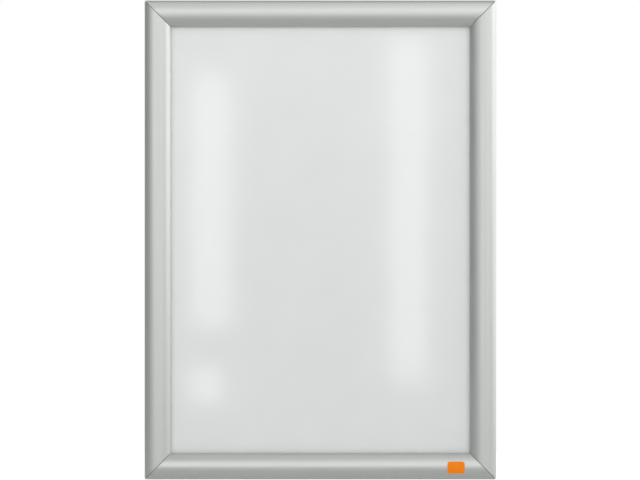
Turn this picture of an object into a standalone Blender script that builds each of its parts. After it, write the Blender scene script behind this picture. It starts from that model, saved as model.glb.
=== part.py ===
"""A wall-hung aluminium snap frame for one poster, as separate pieces.

Metres. The frame stands in the XZ plane with +Z up. Its back lies on the plane y = 0, its face looks
towards -Y, and the origin is the centre of the back.

Every rail is drawn in one section: "inward" runs from the frame's outer edge towards the poster,
"forward" runs from the wall towards the viewer, and "along" runs the length of the rail. A face rail
turns outwards about a bead on the base rail, and its leaf springs push on its hook from inside, so
that it snaps shut on the sheet or stays open.
"""

import math

import bmesh
import bpy
from mathutils import Matrix, Vector

# The sheet that the frame is made for
PAPER_WIDTH = 0.297
PAPER_HEIGHT = 0.420
SHEET_THICKNESS = 0.0005
PANEL_THICKNESS = 0.0015
SHEET_PLAY = 0.0005
SHEET_OVERLAP = 0.0040

# Fits
SEAT_GAP = 0.0003
MITRE_SETBACK = 0.0003
FACE_MITRE_SETBACK = 0.0004
CUT_OVERRUN = 0.0005
WELD_DISTANCE = 0.000001

# Crown of the face rail. Its highest line lies nearer to the outer edge than to the lip.
FRAME_DEPTH = 0.0125
CROWN_INSET = 0.0118
SHOULDER_RADIUS = 0.0020
SKIN_WALL = 0.0013
CROWN_STEPS = 36
SHOULDER_STEPS = 8
LIP_STEPS = 8

# Hinge: a bead on the base rail, and a hook on the face rail
BEAD_RADIUS = 0.00125
HINGE_CLEARANCE = 0.0002
HOOK_WALL = 0.0010
NECK_WALL = 0.0010
NECK_OFFSET = 0.0002
SWEEP_GAP = 0.0007
OPEN_ANGLE = math.radians(95)
HOOK_ROOT_ANGLE = math.radians(95)
NOTCH_DEPTH = 0.0003
NOTCH_HALF_ANGLE = math.radians(6)
NOTCH_FROM_TIP_ANGLE = math.radians(12)
BEAD_STEPS = 20
HOOK_STEPS = 18

# Base rail: floor, ribs, ledge
FLOOR_THICKNESS = 0.0012
FOOT_SETBACK = 0.0004
LAND_WIDTH = 0.0094
RIB_WALL = 0.0010
KEY_LIP_REACH = 0.0009
KEY_LIP_THICKNESS = 0.0008
LEDGE_THICKNESS = 0.0008
LEDGE_REACH = 0.0026
FLOOR_REACH = 0.0036
STOP_RISE = 0.0004

# Corner keys
KEY_WIDTH = 0.0060
KEY_THICKNESS = 0.0015
KEY_LEG = 0.0400
KEY_CHAMFER = 0.0010

# Leaf springs
SPRING_WIDTH = 0.0180
SPRING_THICKNESS = 0.0004
SPRING_RISE = 0.0014
SPRING_STEPS = 12
SPRING_PLACE_SHARES = (-0.5, 0.5)

# Screw holes in the top and bottom base rails
HOLE_RADIUS = 0.00225
HOLE_FROM_CORNER = 0.045
SINK_ANGLE = math.radians(45)
HOLE_SIDES = 32

# Blank label on the bottom face rail
LABEL_WIDTH = 0.0164
LABEL_HEIGHT = 0.0117
LABEL_THICKNESS = 0.0007
LABEL_CORNER = 0.0020
LABEL_FROM_EDGE = 0.0117
LABEL_FROM_CORNER = 0.0389
LABEL_STEPS = 16

# Edges sharper than this stay sharp
SMOOTH_ANGLE = math.radians(28)

# Hinge, from the bead outwards. Angles turn from inward (0) to forward (90 degrees).
HOOK_BORE = BEAD_RADIUS + HINGE_CLEARANCE
HOOK_RADIUS = HOOK_BORE + HOOK_WALL
NECK_INNER_ANGLE = math.asin((NECK_OFFSET + NECK_WALL / 2 + HINGE_CLEARANCE) / HOOK_BORE)
NECK_OUTER_ANGLE = math.asin((NECK_WALL / 2 - NECK_OFFSET + HINGE_CLEARANCE) / HOOK_BORE)
HOOK_START = NECK_INNER_ANGLE - math.pi / 2
HOOK_END = 3 * math.pi / 2 - NECK_OUTER_ANGLE - OPEN_ANGLE
NOTCH_ANGLE = HOOK_START + NOTCH_FROM_TIP_ANGLE

# Places inward of the frame's outer edge
HINGE_INSET = -HOOK_RADIUS * math.cos(HOOK_END)
NECK_OUTER = HINGE_INSET + NECK_OFFSET - NECK_WALL / 2
NECK_INNER = NECK_OUTER + NECK_WALL
KEY_RIB = NECK_INNER + LAND_WIDTH
CHANNEL_START = KEY_RIB + RIB_WALL
CHANNEL_END = CHANNEL_START + KEY_WIDTH + 2 * SEAT_GAP
SHEET_STOP = CHANNEL_END + RIB_WALL
SHEET_EDGE = SHEET_STOP + SHEET_PLAY
PANEL_EDGE = SHEET_STOP + SEAT_GAP
RAIL_WIDTH = SHEET_EDGE + SHEET_OVERLAP

# Heights forward of the wall
HINGE_HEIGHT = FLOOR_THICKNESS + SWEEP_GAP + HOOK_RADIUS
PANEL_BACK = FLOOR_THICKNESS + SEAT_GAP
LEDGE_BACK = PANEL_BACK + PANEL_THICKNESS + SEAT_GAP
LEDGE_FRONT = LEDGE_BACK + LEDGE_THICKNESS
SHEET_BACK = LEDGE_FRONT + SEAT_GAP
SHEET_FRONT = SHEET_BACK + SHEET_THICKNESS
LIP_HEIGHT = SHEET_FRONT + SEAT_GAP
STOP_FRONT = SHEET_FRONT + STOP_RISE
KEY_BACK = FLOOR_THICKNESS + SEAT_GAP
KEY_LIP_BACK = KEY_BACK + KEY_THICKNESS + SEAT_GAP
KEY_LIP_FRONT = KEY_LIP_BACK + KEY_LIP_THICKNESS

# Whole frame
FRAME_WIDTH = PAPER_WIDTH + 2 * SHEET_EDGE
FRAME_HEIGHT = PAPER_HEIGHT + 2 * SHEET_EDGE

# For each rail: the direction inward, the distance from the centre to its outer edge, and half its
# length. The third axis, along the rail, is inward x forward.
FORWARD = Vector((0, -1, 0))
RAILS = {
    "top": (Vector((0, 0, -1)), FRAME_HEIGHT / 2, FRAME_WIDTH / 2),
    "bottom": (Vector((0, 0, 1)), FRAME_HEIGHT / 2, FRAME_WIDTH / 2),
    "left": (Vector((1, 0, 0)), FRAME_WIDTH / 2, FRAME_HEIGHT / 2),
    "right": (Vector((-1, 0, 0)), FRAME_WIDTH / 2, FRAME_HEIGHT / 2),
}
DRILLED_RAILS = ("top", "bottom")
LABELLED_RAIL = "bottom"
CORNERS = {
    "bottom_left": (-1, -1, Vector((1, 0, 0))),
    "bottom_right": (1, -1, Vector((0, 0, 1))),
    "top_right": (1, 1, Vector((-1, 0, 0))),
    "top_left": (-1, 1, Vector((0, 0, -1))),
}


def make_collection(name):
    collection = bpy.data.collections.new(name)
    bpy.context.scene.collection.children.link(collection)
    return collection


def make_material(name, colour, roughness, metallic, alpha=1.0):
    material = bpy.data.materials.new(name)
    material.use_nodes = True
    shader = material.node_tree.nodes["Principled BSDF"]
    shader.inputs["Base Color"].default_value = (*colour, 1.0)
    shader.inputs["Roughness"].default_value = roughness
    shader.inputs["Metallic"].default_value = metallic
    shader.inputs["Alpha"].default_value = alpha
    return material


def axes_matrix(inward, forward, place):
    """The matrix that turns (inward, forward, along) into world coordinates."""
    along = inward.cross(forward)
    rows = [(inward[i], forward[i], along[i], place[i]) for i in range(len(place))]
    return Matrix((*rows, (0, 0, 0, 1)))


def rail_matrix(side):
    """The frame of a rail's section: its outer edge, on the wall, in the middle of its length."""
    inward, distance, _ = RAILS[side]
    return axes_matrix(inward, FORWARD, -distance * inward)


def extruded_mesh(name, outline, half_length):
    """A flat outline pulled out both ways along its normal, as one closed mesh."""
    curve = bpy.data.curves.new(name + "_outline", "CURVE")
    curve.dimensions = "2D"
    curve.fill_mode = "BOTH"
    curve.extrude = half_length
    spline = curve.splines.new("POLY")
    spline.points.add(len(outline) - 1)
    for point, (across, up) in zip(spline.points, outline):
        point.co = (across, up, 0, 1)
    spline.use_cyclic_u = True
    guide = bpy.data.objects.new(name + "_outline", curve)
    bpy.context.scene.collection.objects.link(guide)
    evaluated = guide.evaluated_get(bpy.context.evaluated_depsgraph_get())
    mesh = bpy.data.meshes.new_from_object(evaluated)
    bpy.data.objects.remove(guide)
    bpy.data.curves.remove(curve)
    mesh.name = name
    shape = bmesh.new()
    shape.from_mesh(mesh)
    bmesh.ops.remove_doubles(shape, verts=shape.verts, dist=WELD_DISTANCE)
    bmesh.ops.recalc_face_normals(shape, faces=shape.faces)
    shape.to_mesh(mesh)
    shape.free()
    return mesh


def shape_ends(mesh, half_length, setback):
    """Draw both ends of an extruded mesh back, by a distance that depends on the place in the section."""
    for vertex in mesh.vertices:
        end = half_length - setback(vertex.co.x, vertex.co.y)
        vertex.co.z = math.copysign(end, vertex.co.z)


def add_piece(name, mesh, material, matrix, parent=None):
    """Put a mesh into the frame's collection. The matrix is relative to the parent, if there is one."""
    mesh.materials.clear()
    mesh.materials.append(material)
    mesh.shade_smooth()
    mesh.set_sharp_from_angle(angle=SMOOTH_ANGLE)
    piece = bpy.data.objects.new(name, mesh)
    parts.objects.link(piece)
    piece.parent = parent
    piece.matrix_local = matrix
    return piece


def add_empty(name, matrix):
    empty = bpy.data.objects.new(name, None)
    parts.objects.link(empty)
    empty.matrix_world = matrix
    empty.empty_display_size = RAIL_WIDTH
    return empty


def steps(start, end, count):
    """Values from start to end, both included."""
    return [start + (end - start) * index / count for index in range(count + 1)]


def arc(centre, radius, start, end, count):
    return [
        (centre[0] + radius * math.cos(angle), centre[1] + radius * math.sin(angle))
        for angle in steps(start, end, count)
    ]


def crown_sizes():
    """The face rail's outer skin: one round crown, between a tighter shoulder and the round lip.

    The crown reaches the frame's depth and ends where the lip touches the sheet. The shoulder turns it
    into the rail's flat side. Angles are counted from the highest line, inward positive.
    Returns the crown's radius, the height of its centre, its angle at the lip, its angle at the
    shoulder, and the height of the shoulder's centre.
    """
    half_wall = SKIN_WALL / 2
    run = RAIL_WIDTH - half_wall - CROWN_INSET
    drop = FRAME_DEPTH - LIP_HEIGHT - half_wall
    radius = (run**2 + drop**2 - half_wall**2) / (2 * (drop - half_wall))
    centre_height = FRAME_DEPTH - radius
    lip_angle = math.asin(run / (radius - half_wall))
    arm = radius - SHOULDER_RADIUS
    shoulder_angle = -math.asin((CROWN_INSET - SHOULDER_RADIUS) / arm)
    shoulder_height = centre_height + arm * math.cos(shoulder_angle)
    return radius, centre_height, lip_angle, shoulder_angle, shoulder_height


CROWN_RADIUS, CROWN_CENTRE, LIP_ANGLE, SHOULDER_ANGLE, SHOULDER_HEIGHT = crown_sizes()


def crown_point(offset, angle):
    """A point on the crown's outer skin, moved out by an offset."""
    reach = CROWN_RADIUS + offset
    return (CROWN_INSET + reach * math.sin(angle), CROWN_CENTRE + reach * math.cos(angle))


def crown_angle(offset, inward):
    """The angle at which the skin, moved out by an offset, passes a place inward of the outer edge."""
    return math.asin((inward - CROWN_INSET) / (CROWN_RADIUS + offset))


def hook_point(radius, angle):
    return (HINGE_INSET + radius * math.cos(angle), HINGE_HEIGHT + radius * math.sin(angle))


def snap_section():
    """The face rail: shoulder and crown, the round lip, and the hook that turns on the bead."""
    shoulder_end = math.pi / 2 - SHOULDER_ANGLE
    shoulder_centre = (SHOULDER_RADIUS, SHOULDER_HEIGHT)
    shoulder = arc(shoulder_centre, SHOULDER_RADIUS, math.pi, shoulder_end, SHOULDER_STEPS)
    crown = [crown_point(0, angle) for angle in steps(SHOULDER_ANGLE, LIP_ANGLE, CROWN_STEPS)]
    skin = [hook_point(HOOK_RADIUS, HOOK_END)] + shoulder[:-1] + crown
    lip_start = math.pi / 2 - LIP_ANGLE
    lip_centre = crown_point(-SKIN_WALL / 2, LIP_ANGLE)
    lip = arc(lip_centre, SKIN_WALL / 2, lip_start, lip_start - math.pi, LIP_STEPS)[1:-1]
    root = crown_angle(-SKIN_WALL, hook_point(HOOK_RADIUS, HOOK_ROOT_ANGLE)[0])
    inside = [crown_point(-SKIN_WALL, angle) for angle in steps(LIP_ANGLE, root, CROWN_STEPS)]
    above_notch = steps(HOOK_ROOT_ANGLE, NOTCH_ANGLE + NOTCH_HALF_ANGLE, HOOK_STEPS)
    hook = [hook_point(HOOK_RADIUS, angle) for angle in above_notch]
    hook.append(hook_point(HOOK_RADIUS - NOTCH_DEPTH, NOTCH_ANGLE))
    hook.append(hook_point(HOOK_RADIUS, NOTCH_ANGLE - NOTCH_HALF_ANGLE))
    hook.append(hook_point(HOOK_RADIUS, HOOK_START))
    bore = [hook_point(HOOK_BORE, angle) for angle in steps(HOOK_START, HOOK_END, HOOK_STEPS)]
    return skin + lip + inside + hook + bore


def base_section():
    """The base rail: floor, ledge over the panel's slot, stop for the sheet, key channel, neck, bead."""
    bead_centre = (HINGE_INSET, HINGE_HEIGHT)
    bead_start = -math.acos((NECK_INNER - HINGE_INSET) / BEAD_RADIUS)
    bead_end = math.pi + math.acos((HINGE_INSET - NECK_OUTER) / BEAD_RADIUS)
    floor_and_ledge = [
        (FOOT_SETBACK, 0),
        (SHEET_STOP + FLOOR_REACH, 0),
        (SHEET_STOP + FLOOR_REACH, FLOOR_THICKNESS),
        (SHEET_STOP, FLOOR_THICKNESS),
        (SHEET_STOP, LEDGE_BACK),
        (SHEET_STOP + LEDGE_REACH, LEDGE_BACK),
        (SHEET_STOP + LEDGE_REACH, LEDGE_FRONT),
        (SHEET_STOP, LEDGE_FRONT),
        (SHEET_STOP, STOP_FRONT),
        (CHANNEL_END, STOP_FRONT),
    ]
    key_channel = [
        (CHANNEL_END, KEY_LIP_FRONT),
        (CHANNEL_END - KEY_LIP_REACH, KEY_LIP_FRONT),
        (CHANNEL_END - KEY_LIP_REACH, KEY_LIP_BACK),
        (CHANNEL_END, KEY_LIP_BACK),
        (CHANNEL_END, FLOOR_THICKNESS),
        (CHANNEL_START, FLOOR_THICKNESS),
        (CHANNEL_START, KEY_LIP_BACK),
        (CHANNEL_START + KEY_LIP_REACH, KEY_LIP_BACK),
        (CHANNEL_START + KEY_LIP_REACH, KEY_LIP_FRONT),
        (KEY_RIB, KEY_LIP_FRONT),
        (KEY_RIB, FLOOR_THICKNESS),
    ]
    bead = arc(bead_centre, BEAD_RADIUS, bead_start, bead_end, BEAD_STEPS)
    land = [(NECK_INNER, FLOOR_THICKNESS)]
    foot = [(NECK_OUTER, FLOOR_THICKNESS), (FOOT_SETBACK, FLOOR_THICKNESS)]
    return floor_and_ledge + key_channel + land + bead + foot


def mitre_setback(inward, forward):
    """A plain 45 degree mitre, with a narrow gap to the next rail."""
    return inward + MITRE_SETBACK


def turning_mitre_setback(inward, forward):
    """The mitre of a piece that turns about the bead.

    Most of the face rail only swings outwards, but the two sides of its hook pass under or behind the
    bead and swing inward. Each point is drawn back by as far inward as it ever reaches, so that it
    clears the next rail, shut or open, all the way.
    """
    arm = math.hypot(inward - HINGE_INSET, forward - HINGE_HEIGHT)
    shut = math.atan2(forward - HINGE_HEIGHT, inward - HINGE_INSET)
    passes_straight_inward = shut < 0 < shut + OPEN_ANGLE
    furthest = 1 if passes_straight_inward else max(math.cos(shut), math.cos(shut + OPEN_ANGLE))
    return HINGE_INSET + arm * furthest + FACE_MITRE_SETBACK


def add_base_rail(side, material):
    half_length = RAILS[side][2]
    name = "base_rail_" + side
    mesh = extruded_mesh(name, base_section(), half_length)
    shape_ends(mesh, half_length, mitre_setback)
    rail = add_piece(name, mesh, material, rail_matrix(side))
    if side in DRILLED_RAILS:
        for number, sign in enumerate((-1, 1), start=1):
            drill(rail, side, number, sign * (half_length - HOLE_FROM_CORNER))


def drill(rail, side, number, along):
    """Sink a screw hole through the floor between the neck and the key channel's rib."""
    depth = FLOOR_THICKNESS + 2 * CUT_OVERRUN
    spread = math.tan(SINK_ANGLE)
    cone = bmesh.new()
    bmesh.ops.create_cone(
        cone,
        cap_ends=True,
        segments=HOLE_SIDES,
        radius1=HOLE_RADIUS - CUT_OVERRUN * spread,
        radius2=HOLE_RADIUS + (FLOOR_THICKNESS + CUT_OVERRUN) * spread,
        depth=depth,
    )
    name = "screw_hole_" + side + "_" + str(number)
    mesh = bpy.data.meshes.new(name)
    cone.to_mesh(mesh)
    cone.free()
    cutter = bpy.data.objects.new(name, mesh)
    cutters.objects.link(cutter)
    place = Vector(((NECK_INNER + KEY_RIB) / 2, FLOOR_THICKNESS / 2, along))
    upright = Matrix.Rotation(-math.pi / 2, 4, "X")
    cutter.matrix_world = rail_matrix(side) @ Matrix.Translation(place) @ upright
    cutter.hide_render = True
    cutter.display_type = "WIRE"
    cut = rail.modifiers.new(name, "BOOLEAN")
    cut.operation = "DIFFERENCE"
    cut.solver = "EXACT"
    cut.object = cutter


def add_snap_rail(side, material):
    """A face rail under an empty on its hinge's axis. Returns the empty."""
    half_length = RAILS[side][2]
    name = "snap_rail_" + side
    mesh = extruded_mesh(name, snap_section(), half_length)
    shape_ends(mesh, half_length, turning_mitre_setback)
    to_hinge = Matrix.Translation((-HINGE_INSET, -HINGE_HEIGHT, 0))
    mesh.transform(to_hinge)
    hinge = add_empty("hinge_" + side, rail_matrix(side) @ to_hinge.inverted())
    add_piece(name, mesh, material, Matrix.Identity(4), hinge)
    return hinge


def spring_sizes():
    """The spring's seat on the base rail, its length, and the angle at which it points at the notch."""
    half = SPRING_THICKNESS / 2
    seat = Vector((KEY_RIB - SEAT_GAP - half, FLOOR_THICKNESS + SEAT_GAP + half))
    axis = Vector((HINGE_INSET, HINGE_HEIGHT))
    notch = Vector(hook_point(HOOK_RADIUS, NOTCH_ANGLE))
    length = (axis - seat).length - HOOK_RADIUS - SEAT_GAP - half
    toward_notch = notch - seat
    return seat, length, math.atan2(toward_notch.y, toward_notch.x)


def spring_section():
    """A strip bowed towards the viewer, from its seat at the origin to its free edge near the hook."""
    _, length, direction = spring_sizes()
    radius = ((length / 2) ** 2 + SPRING_RISE**2) / (2 * SPRING_RISE)
    half_angle = math.asin(length / 2 / radius)
    middle = Vector((math.cos(direction), math.sin(direction))) * length / 2
    bow = direction - math.pi / 2
    centre = middle - (radius - SPRING_RISE) * Vector((math.cos(bow), math.sin(bow)))
    half = SPRING_THICKNESS / 2
    front = arc(centre, radius + half, bow - half_angle, bow + half_angle, SPRING_STEPS)
    back = arc(centre, radius - half, bow + half_angle, bow - half_angle, SPRING_STEPS)
    return front + back


def add_leaf_springs(side, material):
    seat = spring_sizes()[0]
    half_length = RAILS[side][2]
    seat_matrix = rail_matrix(side) @ Matrix.Translation((seat.x, seat.y, 0))
    empty = add_empty("spring_seat_" + side, seat_matrix)
    for number, share in enumerate(SPRING_PLACE_SHARES, start=1):
        name = "leaf_spring_" + side + "_" + str(number)
        mesh = extruded_mesh(name, spring_section(), SPRING_WIDTH / 2)
        add_piece(name, mesh, material, Matrix.Translation((0, 0, share * half_length)), empty)


def key_outline():
    """An angle plate with chamfered tips, measured inward from the two outer edges of its corner."""
    outer = CHANNEL_START + SEAT_GAP
    inner = outer + KEY_WIDTH
    tip = outer + KEY_LEG
    leg = [
        (outer, outer),
        (tip - KEY_CHAMFER, outer),
        (tip, outer + KEY_CHAMFER),
        (tip, inner - KEY_CHAMFER),
        (tip - KEY_CHAMFER, inner),
        (inner, inner),
    ]
    other_leg = [(up, across) for across, up in reversed(leg[1:-1])]
    return leg + other_leg


def add_corner_key(corner, material):
    side, level, inward = CORNERS[corner]
    height = KEY_BACK + KEY_THICKNESS / 2
    place = Vector((side * FRAME_WIDTH / 2, -height, level * FRAME_HEIGHT / 2))
    name = "corner_key_" + corner
    mesh = extruded_mesh(name, key_outline(), KEY_THICKNESS / 2)
    upward = FORWARD.cross(inward)
    add_piece(name, mesh, material, axes_matrix(inward, upward, place))


def add_plate(name, width, thickness, height, back, material):
    """A flat plate parallel to the wall, its back face a distance in front of it."""
    shape = bmesh.new()
    bmesh.ops.create_cube(shape, size=1)
    bmesh.ops.scale(shape, vec=(width, thickness, height), verts=shape.verts)
    mesh = bpy.data.meshes.new(name)
    shape.to_mesh(mesh)
    shape.free()
    add_piece(name, mesh, material, Matrix.Translation((0, -back - thickness / 2, 0)))


def label_section():
    """A thin plate that follows the crown."""
    back = SEAT_GAP
    front = SEAT_GAP + LABEL_THICKNESS
    low = LABEL_FROM_EDGE - LABEL_HEIGHT / 2
    high = LABEL_FROM_EDGE + LABEL_HEIGHT / 2
    inner = steps(crown_angle(back, low), crown_angle(back, high), LABEL_STEPS)
    outer = steps(crown_angle(front, high), crown_angle(front, low), LABEL_STEPS)
    return [crown_point(back, angle) for angle in inner] + [crown_point(front, angle) for angle in outer]


def label_corner_setback(inward, forward):
    """Round corners: nothing in the middle of the height, a quarter circle towards each edge."""
    from_edge = LABEL_HEIGHT / 2 - abs(inward - LABEL_FROM_EDGE)
    into_corner = min(max(LABEL_CORNER - from_edge, 0), LABEL_CORNER)
    return LABEL_CORNER - math.sqrt(LABEL_CORNER**2 - into_corner**2)


def add_label(hinge, material):
    half_length = RAILS[LABELLED_RAIL][2]
    mesh = extruded_mesh("blank_label", label_section(), LABEL_WIDTH / 2)
    shape_ends(mesh, LABEL_WIDTH / 2, label_corner_setback)
    place = (-HINGE_INSET, -HINGE_HEIGHT, half_length - LABEL_FROM_CORNER)
    add_piece("blank_label", mesh, material, Matrix.Translation(place), hinge)


for old in list(bpy.data.objects):
    bpy.data.objects.remove(old)
parts = make_collection("poster_frame")
cutters = make_collection("cutters")

anodised = make_material("anodised_aluminium", (0.60, 0.61, 0.60), 0.38, 1.0)
mill_finish = make_material("mill_finish_aluminium", (0.66, 0.665, 0.67), 0.40, 1.0)
spring_steel = make_material("spring_steel", (0.42, 0.43, 0.45), 0.35, 1.0)
zinc_steel = make_material("zinc_plated_steel", (0.62, 0.64, 0.66), 0.40, 1.0)
panel_plastic = make_material("panel_plastic", (0.84, 0.85, 0.84), 0.57, 0.0)
clear_plastic = make_material("clear_plastic", (0.95, 0.96, 0.96), 0.13, 0.0, 0.15)
label_plastic = make_material("label_plastic", (0.92, 0.23, 0.015), 0.38, 0.0)

for rail_side in RAILS:
    add_base_rail(rail_side, mill_finish)
    rail_hinge = add_snap_rail(rail_side, anodised)
    add_leaf_springs(rail_side, spring_steel)
    if rail_side == LABELLED_RAIL:
        add_label(rail_hinge, label_plastic)
for corner_name in CORNERS:
    add_corner_key(corner_name, zinc_steel)
add_plate(
    "back_panel",
    FRAME_WIDTH - 2 * PANEL_EDGE,
    PANEL_THICKNESS,
    FRAME_HEIGHT - 2 * PANEL_EDGE,
    PANEL_BACK,
    panel_plastic,
)
add_plate("cover_sheet", PAPER_WIDTH, SHEET_THICKNESS, PAPER_HEIGHT, SHEET_BACK, clear_plastic)
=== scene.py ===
"""Looks, light and camera for the wall-hung snap frame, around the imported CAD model.

Metres, in the CAD's own frame: the frame's back lies on y = 0, its face looks towards -Y, +Z is up, and
the origin is the centre of the back. Every CAD node keeps its place and shape. It gets its finish, and
modifiers that merge its facets and round its sharp edges by a fraction of a millimetre. Only the four
base rails are hidden, and copies of them with butted mitres stand in for them.
"""

import math

import bpy
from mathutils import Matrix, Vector


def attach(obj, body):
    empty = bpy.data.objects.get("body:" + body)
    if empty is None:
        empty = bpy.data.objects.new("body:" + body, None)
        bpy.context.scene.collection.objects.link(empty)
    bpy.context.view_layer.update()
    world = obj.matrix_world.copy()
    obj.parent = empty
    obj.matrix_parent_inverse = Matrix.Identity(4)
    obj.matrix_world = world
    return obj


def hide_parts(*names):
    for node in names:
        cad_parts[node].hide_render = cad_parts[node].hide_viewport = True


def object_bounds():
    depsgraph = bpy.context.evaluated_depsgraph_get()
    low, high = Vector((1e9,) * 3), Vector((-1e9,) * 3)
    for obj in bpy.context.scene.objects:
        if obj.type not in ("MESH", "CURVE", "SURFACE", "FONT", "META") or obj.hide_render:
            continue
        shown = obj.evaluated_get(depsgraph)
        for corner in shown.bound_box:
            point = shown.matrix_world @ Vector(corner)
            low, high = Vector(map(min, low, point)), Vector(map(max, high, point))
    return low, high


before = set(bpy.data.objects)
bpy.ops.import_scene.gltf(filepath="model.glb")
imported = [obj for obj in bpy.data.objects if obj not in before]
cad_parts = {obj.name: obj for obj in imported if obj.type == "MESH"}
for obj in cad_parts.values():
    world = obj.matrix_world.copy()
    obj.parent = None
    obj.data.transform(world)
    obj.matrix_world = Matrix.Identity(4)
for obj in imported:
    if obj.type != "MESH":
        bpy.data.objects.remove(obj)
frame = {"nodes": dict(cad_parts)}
cad_box = [list(corner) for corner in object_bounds()]
nodes = frame["nodes"]

X_AXIS, Z_AXIS = 0, 2
MICRON = 0.000001

# Camera, set by the photograph's scale and centre
LENS_MM = 200
SENSOR_MM = 36
CLIP_END = 50
CAMERA_DISTANCE = 3.4437
CAMERA_X = -0.00034
CAMERA_Z = -0.00005

# Clean-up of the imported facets: what is merged, what counts as one plane, which edges are rounded and
# how wide
MERGE_DISTANCE = 0.000001
SAME_PLANE = math.radians(0.3)
SHARP_EDGE = math.radians(32)
ROUND_SEGMENTS = 3
EDGE_WIDTHS = {
    "snap_rail": 0.00008,
    "base_rail": 0.00010,
    "leaf_spring": 0.00006,
    "corner_key": 0.00020,
    "back_panel": 0.00020,
    "cover_sheet": 0.00006,
    "blank_label": 0.00015,
}

# Mitres of the base rails: how far the CAD's ends stay back, how far the butted ends do, and how close to
# the CAD's cut a vertex counts as on it
BASE_MITRE_GAP = 0.0003
BUTT_GAP = 0.00003
ON_MITRE = 0.00003

# Metals
ANODISED = (0.572, 0.585, 0.572)
ANODISED_WORN = (0.72, 0.725, 0.72)
MILL = (0.66, 0.665, 0.67)
MILL_WORN = (0.78, 0.78, 0.785)

# Clear sheet: what it mirrors seen straight on, and how much more at grazing angles
SHEET_MIRRORS = 0.045
SHEET_GRAZING = 0.80
GRAZING_POWER = 5.0

# Floor: a white share is added to its paper, which grows over these distances from the frame. Mirrored
# rays see that share only behind the frame, where it fades in between these depths.
FLOOR_DROP = 0.045
FLOOR_HALF = 1.2
NEAR_WHITE = 0.45
FAR_WHITE = 0.62
WHITE_GROWS = (0.40, 1.00)
FLOOR_BEHIND = (0.25, 0.75)

# Soft lamps: name, place, target, width, height, radiance
LAMPS = (
    ("key", (1.4, -3.4, 3.2), (0, 0, 0), 2.8, 2.8, 0.75),
    ("side", (1.2, -0.5, 0.55), (0, 0, 0.1), 0.8, 0.7, 0.80),
    ("left", (-0.62, -0.75, 0.3), (-0.15, 0, 0.1), 0.3, 0.8, 0.34),
    ("top", (0, -0.35, 0.9), (0, 0, 0), 1.2, 0.4, 0.52),
)

# Strip lamps that the clear sheet mirrors: name, then x, z, width and height as they show on the sheet,
# and radiance. They stand as far in front of it as STRIP_DISTANCE and are that much larger.
STRIPS = (
    ("strip_left", -0.1058, 0.037, 0.034, 0.245, 1.85),
    ("strip_left_low", -0.111, -0.140, 0.028, 0.034, 2.35),
    ("strip_right", 0.0857, 0.0285, 0.034, 0.334, 1.78),
)
STRIP_DISTANCE = 3.0
MIRROR_SPREAD = 1 + STRIP_DISTANCE / CAMERA_DISTANCE

# World: (degrees, brightness) by azimuth, 0 in front and 90 on the right, or by elevation. A ring of light
# stands on the horizon, a column of light rises in front of the frame, and a faint fill is everywhere.
# Mirrored rays see plain white behind the frame, where it fades in between these Y parts of a direction.
RING = (
    (-180, 0.70), (-120, 0.70), (-90, 0.00), (-48, 0.00), (-30, 0.20), (-15, 0.80), (0, 0.56), (15, 0.52),
    (30, 0.90), (48, 0.35), (68, 1.01), (90, 1.30), (120, 0.95), (180, 0.70),
)
RING_HEIGHT = ((-90, 0.60), (-40, 0.74), (-8, 0.93), (10, 1.07), (45, 0), (90, 0))
COLUMN = ((0, 0.00), (14, 0.64), (28, 0.32), (42, 0.12), (60, 0.05), (90, 0.00))
COLUMN_WIDTH = ((-180, 0), (-75, 0), (-25, 1), (25, 1), (75, 0), (180, 0))
FILL = 0.355
WORLD_BEHIND = (0.65, 0.90)


def new_object(name, data):
    made = bpy.data.objects.new(name, data)
    bpy.context.scene.collection.objects.link(made)
    return made


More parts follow.
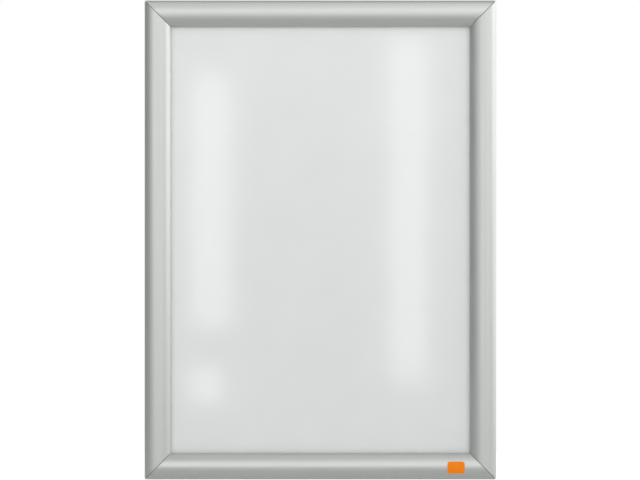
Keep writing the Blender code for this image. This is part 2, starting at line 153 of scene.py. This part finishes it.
class Nodes:
    """A node tree that is written from inputs to output, one call a node."""

    def __init__(self, tree):
        self.tree = tree
        tree.nodes.clear()

    def feed(self, socket, value):
        if isinstance(value, bpy.types.NodeSocket):
            self.tree.links.new(value, socket)
        else:
            socket.default_value = value

    def add(self, kind, inputs=None, **settings):
        node = self.tree.nodes.new(kind)
        for name, value in settings.items():
            setattr(node, name, value)
        for name, value in (inputs or {}).items():
            self.feed(node.inputs[name], value)
        return node

    def math(self, operation, first, second=0.5, third=0.5, clamp=False):
        inputs = {0: first, 1: second, 2: third}
        return self.add("ShaderNodeMath", inputs, operation=operation, use_clamp=clamp).outputs[0]

    def ramp(self, value, stops, interpolation="LINEAR"):
        """A colour ramp. Each stop is (position, grey value or colour)."""
        node = self.add("ShaderNodeValToRGB", {"Fac": value})
        node.color_ramp.interpolation = interpolation
        elements = node.color_ramp.elements
        while len(elements) < len(stops):
            elements.new(0.5)
        for element, (position, colour) in zip(elements, stops):
            element.position = position
            grey = isinstance(colour, (int, float))
            element.color = (colour, colour, colour, 1) if grey else (*colour, 1)
        return node.outputs["Color"]

    def place(self):
        return self.add("ShaderNodeTexCoord").outputs["Object"]

    def noise(self, scale, detail=2.0, roughness=0.5):
        """Noise in the object's own metres. The scale is one number, or one for each axis."""
        coordinates = self.place()
        if not isinstance(scale, (int, float)):
            coordinates = self.add("ShaderNodeMapping", {"Vector": coordinates, "Scale": scale}).outputs[0]
            scale = 1.0
        inputs = {"Vector": coordinates, "Scale": scale, "Detail": detail, "Roughness": roughness}
        return self.add("ShaderNodeTexNoise", inputs).outputs["Fac"]

    def spread(self, value, low, high, start=0.3, end=0.7):
        """A value mapped from start..end, where most noise lies, to low..high."""
        inputs = {"Value": value, "From Min": start, "From Max": end, "To Min": low, "To Max": high}
        return self.add("ShaderNodeMapRange", inputs).outputs["Result"]

    def blend(self, factor, first, second):
        """A mix of two colours, each of them a socket or a colour."""
        node = self.add("ShaderNodeMix", {"Factor": factor}, data_type="RGBA")
        colours = [socket for socket in node.inputs if socket.type == "RGBA"]
        for socket, value in zip(colours, (first, second)):
            self.feed(socket, value if isinstance(value, bpy.types.NodeSocket) else (*value, 1))
        return next(socket for socket in node.outputs if socket.type == "RGBA")

    def bump(self, height, microns, normal=None):
        """Relief of a depth in micrometres, on top of another one where a normal is given."""
        inputs = {"Height": height, "Distance": microns * MICRON}
        if normal is not None:
            inputs["Normal"] = normal
        return self.add("ShaderNodeBump", inputs).outputs["Normal"]

    def edge_mask(self, radius, low=0.80, high=0.98):
        """1 on edges sharper than the radius, 0 on faces."""
        rounded = self.add("ShaderNodeBevel", {"Radius": radius}, samples=4).outputs["Normal"]
        flat = self.add("ShaderNodeNewGeometry").outputs["Normal"]
        dot = self.add("ShaderNodeVectorMath", {0: rounded, 1: flat}, operation="DOT_PRODUCT")
        return self.spread(dot.outputs["Value"], 1.0, 0.0, low, high)

    def sees_white(self, behind):
        """1 for rays that see the white background: the camera's, and mirrored ones where behind is 1."""
        rays = self.add("ShaderNodeLightPath").outputs
        mirrored = self.math("MAXIMUM", rays["Is Glossy Ray"], rays["Is Transmission Ray"])
        return self.math("MAXIMUM", rays["Is Camera Ray"], self.math("MULTIPLY", mirrored, behind))


def new_material(name):
    material = bpy.data.materials.new(name)
    material.use_nodes = True
    return material, Nodes(material.node_tree)


def finish_material(tree, shader):
    tree.add("ShaderNodeOutputMaterial", {"Surface": shader})


def principled(tree, colour, roughness, normal, metallic=0.0, **constants):
    inputs = {"Base Color": colour, "Roughness": roughness, "Normal": normal, "Metallic": metallic}
    inputs.update({name.replace("_", " "): value for name, value in constants.items()})
    return tree.add("ShaderNodeBsdfPrincipled", inputs).outputs["BSDF"]


def lengthwise(along, coarse, fine):
    """Noise scales that draw a pattern out along one axis."""
    scale = [fine, fine, fine]
    scale[along] = coarse
    return scale


def extruded_metal(name, along, colour, worn_colour, roughness, line_microns, mottle):
    """Aluminium with die lines along the rail, a fine etched grain, soft handling marks, worn edges."""
    material, tree = new_material(name)
    lines = tree.noise(lengthwise(along, 5.0, 1600.0), 3.0, 0.6)
    hair = tree.noise(lengthwise(along, 40.0, 7000.0), 2.0, 0.5)
    grain = tree.noise(5200.0, 2.0, 0.6)
    clouds = tree.noise(14.0, 3.0, 0.55)
    wear = tree.noise(420.0, 4.0, 0.7)

    darker = tuple(c * (1 - mottle) for c in colour)
    lighter = tuple(c * (1 + mottle) for c in colour)
    tone = tree.blend(tree.spread(clouds, 0.0, 1.0), darker, lighter)
    tone = tree.blend(tree.spread(lines, 0.0, 0.5), tone, darker)
    edge = tree.edge_mask(0.00035)
    worn = tree.math("MULTIPLY", edge, tree.spread(wear, 0.1, 0.9), clamp=True)
    tone = tree.blend(worn, tone, worn_colour)

    rough = tree.math("ADD", tree.spread(lines, -0.03, 0.04), roughness)
    rough = tree.math("ADD", rough, tree.spread(clouds, -0.03, 0.03))
    rough = tree.math("ADD", rough, tree.spread(grain, -0.03, 0.03))
    rough = tree.math("MULTIPLY_ADD", worn, -0.10, rough)

    normal = tree.bump(lines, line_microns)
    normal = tree.bump(hair, line_microns * 0.2, normal)
    normal = tree.bump(grain, 0.6, normal)
    finish_material(tree, principled(tree, tone, rough, normal, metallic=1.0))
    return material


def plated_steel(name):
    """Zinc plate: pale bluish and yellowish clouds, a crystalline grain, brighter rubbed edges."""
    material, tree = new_material(name)
    clouds = tree.noise(60.0, 3.0, 0.6)
    inputs = {"Vector": tree.place(), "Scale": 1400.0}
    crystals = tree.add("ShaderNodeTexVoronoi", inputs).outputs["Distance"]
    grain = tree.noise(6500.0, 2.0, 0.6)
    stops = [(0.30, (0.50, 0.53, 0.57)), (0.50, (0.60, 0.62, 0.63)), (0.72, (0.64, 0.62, 0.54))]
    tone = tree.ramp(clouds, stops)
    tone = tree.blend(tree.spread(crystals, 0.0, 0.35, 0.1, 0.9), tone, (0.45, 0.47, 0.50))
    edge = tree.edge_mask(0.0004)
    tone = tree.blend(tree.math("MULTIPLY", edge, 0.7), tone, (0.74, 0.75, 0.76))
    rough = tree.math("ADD", tree.spread(clouds, 0.30, 0.46), tree.spread(grain, -0.05, 0.05))
    normal = tree.bump(crystals, 4)
    normal = tree.bump(grain, 1.5, normal)
    finish_material(tree, principled(tree, tone, rough, normal, metallic=1.0))
    return material


def tempered_steel(name, along):
    """Blued spring strip: rolled grain along its length, straw to blue clouds, bright cut edges."""
    material, tree = new_material(name)
    rolled = tree.noise(lengthwise(along, 60.0, 5000.0), 3.0, 0.6)
    clouds = tree.noise(130.0, 2.0, 0.5)
    stops = [(0.30, (0.20, 0.22, 0.27)), (0.52, (0.30, 0.31, 0.33)), (0.74, (0.36, 0.32, 0.26))]
    tone = tree.ramp(clouds, stops)
    tone = tree.blend(tree.spread(rolled, 0.0, 0.4), tone, (0.46, 0.46, 0.47))
    edge = tree.edge_mask(0.0002)
    tone = tree.blend(tree.math("MULTIPLY", edge, 0.8), tone, (0.62, 0.62, 0.63))
    rough = tree.math("ADD", tree.spread(rolled, 0.22, 0.36), tree.spread(clouds, -0.04, 0.06))
    normal = tree.bump(rolled, 3)
    finish_material(tree, principled(tree, tone, rough, normal, metallic=1.0))
    return material


def panel_sheet(name):
    """Pale grey plastic sheet: faint vertical draw lines, a soft mottle, specks and an orange-peel skin."""
    material, tree = new_material(name)
    draw = tree.noise((180.0, 180.0, 2.5), 3.0, 0.5)
    mottle = tree.noise(22.0, 4.0, 0.6)
    peel = tree.noise(900.0, 2.0, 0.5)
    specks = tree.noise(3200.0, 1.0, 0.5)
    low = (0.857, 0.860, 0.862)
    high = (0.888, 0.890, 0.891)
    tone = tree.blend(tree.spread(mottle, 0.0, 1.0), low, high)
    tone = tree.blend(tree.spread(draw, 0.0, 0.35), tone, low)
    tone = tree.blend(tree.spread(specks, 0.0, 0.6, 0.66, 0.80), tone, (0.78, 0.79, 0.78))
    edge = tree.edge_mask(0.0004)
    tone = tree.blend(tree.math("MULTIPLY", edge, 0.6), tone, (0.92, 0.925, 0.92))
    rough = tree.math("ADD", tree.spread(peel, 0.50, 0.64), tree.spread(mottle, -0.04, 0.04))
    normal = tree.bump(peel, 12)
    normal = tree.bump(draw, 6, normal)
    finish_material(tree, principled(tree, tone, rough, normal, Specular_IOR_Level=0.3))
    return material


def clear_sheet(name):
    """Thin clear plastic: it lets light straight through and mirrors a little, softly, from both faces."""
    material, tree = new_material(name)
    facing = tree.add("ShaderNodeLayerWeight", {"Blend": 0.5}).outputs["Facing"]
    grazing = tree.math("POWER", facing, GRAZING_POWER)
    mirrored = tree.math("MULTIPLY_ADD", grazing, SHEET_GRAZING, SHEET_MIRRORS)
    smudges = tree.noise(26.0, 4.0, 0.6)
    handling = tree.noise((900.0, 900.0, 30.0), 3.0, 0.6)
    rough = tree.math("ADD", tree.spread(smudges, 0.059, 0.073), tree.spread(handling, -0.004, 0.005))
    ripple = tree.bump(tree.noise(9.0, 1.0, 0.4), 20)
    ripple = tree.bump(handling, 0.6, ripple)
    through = tree.add("ShaderNodeBsdfTransparent", {"Color": (0.988, 0.992, 0.989, 1)}).outputs[0]
    inputs = {"Color": (1, 1, 1, 1), "Roughness": rough, "Normal": ripple}
    gloss = tree.add("ShaderNodeBsdfGlossy", inputs).outputs[0]
    inputs = {"Fac": mirrored, 1: through, 2: gloss}
    finish_material(tree, tree.add("ShaderNodeMixShader", inputs).outputs[0])
    return material


def label_vinyl(name):
    """Plain orange vinyl, slightly worn along its edges, with a fine eggshell skin."""
    material, tree = new_material(name)
    mottle = tree.noise(700.0, 4.0, 0.6)
    skin = tree.noise(7000.0, 2.0, 0.5)
    tone = tree.blend(tree.spread(mottle, 0.0, 1.0), (1.00, 0.238, 0.004), (1.00, 0.268, 0.006))
    edge = tree.edge_mask(0.0003, 0.85, 0.99)
    tone = tree.blend(tree.math("MULTIPLY", edge, 0.45), tone, (0.97, 0.42, 0.14))
    rough = tree.math("ADD", tree.spread(mottle, 0.34, 0.44), tree.spread(skin, -0.04, 0.04))
    normal = tree.bump(skin, 2)
    finish_material(tree, principled(tree, tone, rough, normal, Specular_IOR_Level=0.15))
    return material


def floor_paper(name):
    """Pale paper, lit as the frame is, with a white share added for the rays that see the background.

    The share grows with the distance, so that the soft shadow near the frame shows and the far edge of
    the floor doesn't.
    """
    material, tree = new_material(name)
    mottle = tree.noise(60.0, 4.0, 0.6)
    tone = tree.blend(tree.spread(mottle, 0.0, 1.0), (0.82, 0.82, 0.82), (0.86, 0.86, 0.86))
    lit = principled(tree, tone, 0.9, tree.bump(tree.noise(900.0, 2.0, 0.5), 10))
    place = tree.place()
    depth = tree.add("ShaderNodeSeparateXYZ", {"Vector": place}).outputs["Y"]
    seen = tree.sees_white(tree.spread(depth, 0.0, 1.0, *FLOOR_BEHIND))
    distance = tree.add("ShaderNodeVectorMath", {0: place}, operation="LENGTH").outputs["Value"]
    share = tree.spread(distance, NEAR_WHITE, FAR_WHITE, *WHITE_GROWS)
    inputs = {"Color": (1, 1, 1, 1), "Strength": tree.math("MULTIPLY", seen, share)}
    white = tree.add("ShaderNodeEmission", inputs).outputs[0]
    finish_material(tree, tree.add("ShaderNodeAddShader", {0: lit, 1: white}).outputs[0])
    return material


def make_merge_group():
    """Merges a node's split facets and lets them shade as one surface."""
    group = bpy.data.node_groups.new("merge_facets", "GeometryNodeTree")
    for side in ("INPUT", "OUTPUT"):
        group.interface.new_socket("Geometry", in_out=side, socket_type="NodeSocketGeometry")
    tree = Nodes(group)
    inputs = {"Geometry": tree.add("NodeGroupInput").outputs[0], "Distance": MERGE_DISTANCE}
    merged = tree.add("GeometryNodeMergeByDistance", inputs).outputs[0]
    inputs = {"Mesh": merged, "Remove Custom": True}
    plain = tree.add("GeometryNodeSetMeshNormal", inputs).outputs[0]
    tree.add("NodeGroupOutput", {0: plain})
    return group


def round_edges(piece, merge_group, width):
    """Merge the facets, join what lies in one plane, and round every sharp edge."""
    piece.modifiers.new("merge_facets", "NODES").node_group = merge_group
    flat = piece.modifiers.new("join_planes", "DECIMATE")
    flat.decimate_type = "DISSOLVE"
    flat.angle_limit = SAME_PLANE
    bevel = piece.modifiers.new("round_edges", "BEVEL")
    bevel.width = width
    bevel.segments = ROUND_SEGMENTS
    bevel.limit_method = "ANGLE"
    bevel.angle_limit = SHARP_EDGE
    bevel.harden_normals = True


def is_upright(name):
    return "_left" in name or "_right" in name


def butted_rail(name, node):
    """A base rail whose mitred ends meet its neighbours'.

    The CAD's base rails keep a gap there, which would show as a lit line.
    """
    mesh = node.data.copy()
    mesh.name = "butted_" + name
    along, across = (Z_AXIS, X_AXIS) if is_upright(name) else (X_AXIS, Z_AXIS)
    edges = cad_box[1]
    for vertex in mesh.vertices:
        from_end = edges[along] - abs(vertex.co[along])
        inward = edges[across] - abs(vertex.co[across])
        if abs(from_end - inward - BASE_MITRE_GAP) < ON_MITRE:
            vertex.co[along] += math.copysign(BASE_MITRE_GAP - BUTT_GAP, vertex.co[along])
    piece = new_object("butted_" + name, mesh)
    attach(piece, "wall_frame")
    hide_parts(name)
    return piece


def give(piece, material):
    piece.data.materials.clear()
    piece.data.materials.append(material)


def make_finishes():
    """The material of each kind of piece, and for pieces with a grain one for each way they run."""
    finishes = {}
    for direction, axis in (("x", X_AXIS), ("z", Z_AXIS)):
        finishes["snap_rail_" + direction] = extruded_metal(
            "anodised_aluminium_" + direction, axis, ANODISED, ANODISED_WORN,
            roughness=0.38, line_microns=1.2, mottle=0.015,
        )
        finishes["base_rail_" + direction] = extruded_metal(
            "mill_finish_aluminium_" + direction, axis, MILL, MILL_WORN,
            roughness=0.40, line_microns=4, mottle=0.05,
        )
        finishes["leaf_spring_" + direction] = tempered_steel("spring_steel_" + direction, axis)
    finishes["corner_key"] = plated_steel("zinc_plated_steel")
    finishes["back_panel"] = panel_sheet("panel_plastic")
    finishes["cover_sheet"] = clear_sheet("clear_plastic")
    finishes["blank_label"] = label_vinyl("label_plastic")
    return finishes


def make_floor():
    z = cad_box[0][2] - FLOOR_DROP
    corners = [(x * FLOOR_HALF, y * FLOOR_HALF, z) for x, y in ((-1, -1), (1, -1), (1, 1), (-1, 1))]
    mesh = bpy.data.meshes.new("floor")
    mesh.from_pydata(corners, [], [(0, 1, 2, 3)])
    floor = new_object("floor", mesh)
    give(floor, floor_paper("floor_paper"))


def add_area(name, place, target, width, height, radiance):
    """A soft lamp of a given brightness, whatever its size, that the camera doesn't see."""
    lamp = bpy.data.lights.new(name, "AREA")
    lamp.shape = "RECTANGLE"
    lamp.size = width
    lamp.size_y = height
    lamp.energy = radiance * width * height * math.pi
    light = new_object(name, lamp)
    light.location = place
    light.rotation_mode = "QUATERNION"
    light.rotation_quaternion = (Vector(target) - Vector(place)).to_track_quat("-Z", "Z")
    light.visible_camera = False


def by_angle(tree, turn, half_range, levels, interpolation="LINEAR"):
    """A brightness that depends on an angle. The turn runs from 0 to 1 over -half_range..half_range."""
    stops = [((angle + half_range) / (2 * half_range), level) for angle, level in levels]
    return tree.ramp(turn, stops, interpolation)


def make_world():
    """A pale studio, bright in front and on the right, dim on the left, and plain white to the camera."""
    world = bpy.data.worlds.new("studio")
    bpy.context.scene.world = world
    world.use_nodes = True
    tree = Nodes(world.node_tree)
    direction = tree.add("ShaderNodeTexCoord").outputs["Generated"]
    axes = tree.add("ShaderNodeSeparateXYZ", {"Vector": direction}).outputs
    azimuth = tree.math("ARCTAN2", axes["X"], tree.math("MULTIPLY", axes["Y"], -1.0))
    elevation = tree.math("ARCSINE", axes["Z"])
    around = tree.math("MULTIPLY_ADD", azimuth, 1 / (2 * math.pi), 0.5, clamp=True)
    rise = tree.math("MULTIPLY_ADD", elevation, 1 / math.pi, 0.5, clamp=True)
    ring_height = by_angle(tree, rise, 90, RING_HEIGHT, "EASE")
    ring = tree.math("MULTIPLY", by_angle(tree, around, 180, RING), ring_height)
    column_width = by_angle(tree, around, 180, COLUMN_WIDTH, "EASE")
    column = tree.math("MULTIPLY", by_angle(tree, rise, 90, COLUMN), column_width)
    studio = tree.math("ADD", tree.math("ADD", ring, column), FILL)
    white = tree.sees_white(tree.spread(axes["Y"], 0.0, 1.0, *WORLD_BEHIND))
    inputs = {"Factor": white, "A": studio, "B": 1.0}
    strength = tree.add("ShaderNodeMix", inputs, data_type="FLOAT").outputs[0]
    light = tree.add("ShaderNodeBackground", {"Color": (1, 1, 1, 1), "Strength": strength}).outputs[0]
    tree.add("ShaderNodeOutputWorld", {"Surface": light})


def make_camera():
    data = bpy.data.cameras.new("camera")
    data.lens = LENS_MM
    data.sensor_width = SENSOR_MM
    data.clip_end = CLIP_END
    camera = new_object("camera", data)
    camera.location = (CAMERA_X, -CAMERA_DISTANCE, CAMERA_Z)
    camera.rotation_euler = (math.pi / 2, 0, 0)
    bpy.context.scene.camera = camera


finishes = make_finishes()
merge_group = make_merge_group()
base_rails = {name: node for name, node in nodes.items() if name.startswith("base_rail")}
butted_rails = {"butted_" + name: butted_rail(name, node) for name, node in base_rails.items()}
for name, piece in {**nodes, **butted_rails}.items():
    kind = next(k for k in EDGE_WIDTHS if k in name)
    direction = "z" if is_upright(name) else "x"
    give(piece, finishes.get(kind) or finishes[kind + "_" + direction])
    round_edges(piece, merge_group, EDGE_WIDTHS[kind])

make_floor()
for lamp in LAMPS:
    add_area(*lamp)
for name, *on_sheet, radiance in STRIPS:
    x, z, width, height = (value * MIRROR_SPREAD for value in on_sheet)
    add_area(name, (x, -STRIP_DISTANCE, z), (x, 0, z), width, height, radiance)
make_world()
make_camera()
bpy.context.scene.view_settings.view_transform = "Standard"
